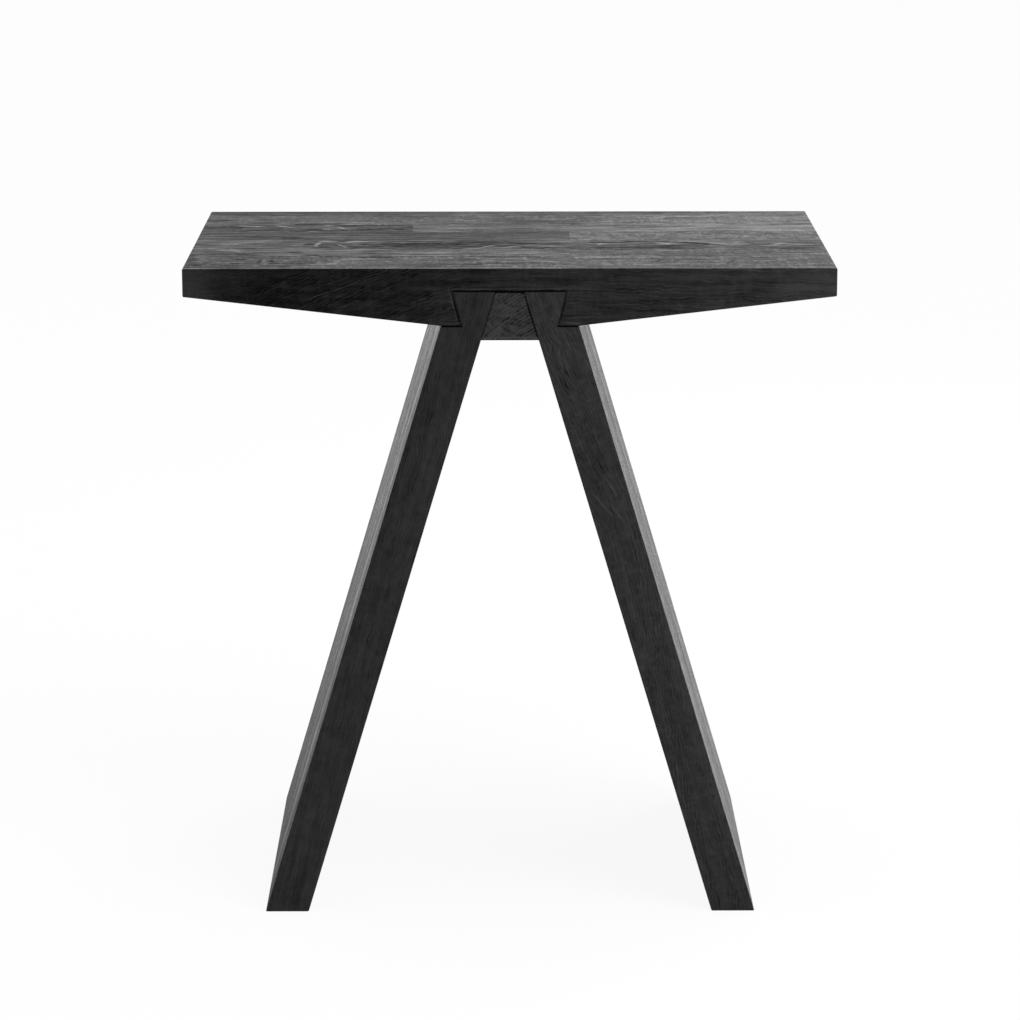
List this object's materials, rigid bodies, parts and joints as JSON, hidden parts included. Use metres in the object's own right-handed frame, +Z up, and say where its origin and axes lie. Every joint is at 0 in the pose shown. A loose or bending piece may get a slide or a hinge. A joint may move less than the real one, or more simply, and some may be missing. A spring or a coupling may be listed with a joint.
{
  "type": "stool",
  "caption": "Low stool with a tapered rectangular seat on two splayed slab legs, dovetailed under the seat and locked by a wedge between them.",
  "frame": {"origin": "on the floor, under the centre of the seat", "axes": "+Z up, +X along the seat's long side, from the left leg to the right leg, and the front faces -Y"},
  "size_m": [0.436, 0.26, 0.45],
  "materials": {
    "black_oak": "black stained open-pore oak, matt oiled",
    "black_steel": "black oxide",
    "brass": "plain turned"
  },
  "bodies": {
    "root": {"seat_stave_1": "black_oak", "seat_stave_2_left": "black_oak", "seat_stave_2_right": "black_oak", "seat_stave_3": "black_oak", "seat_stave_4_left": "black_oak", "seat_stave_4_right": "black_oak", "seat_stave_5_left": "black_oak", "seat_stave_5_right": "black_oak", "seat_stave_6": "black_oak", "seat_stave_7": "black_oak", "left_leg_stave_1": "black_oak", "left_leg_stave_2": "black_oak", "left_leg_stave_3": "black_oak", "left_leg_stave_4": "black_oak", "left_leg_stave_5": "black_oak", "left_leg_stave_6": "black_oak", "left_leg_stave_7": "black_oak", "right_leg_stave_1": "black_oak", "right_leg_stave_2": "black_oak", "right_leg_stave_3": "black_oak", "right_leg_stave_4": "black_oak", "right_leg_stave_5": "black_oak", "right_leg_stave_6": "black_oak", "right_leg_stave_7": "black_oak", "leg_wedge": "black_oak", "wedge_bolts": "black_steel", "bolt_washers": "black_steel", "threaded_inserts": "brass"}
  },
  "joints": []
}
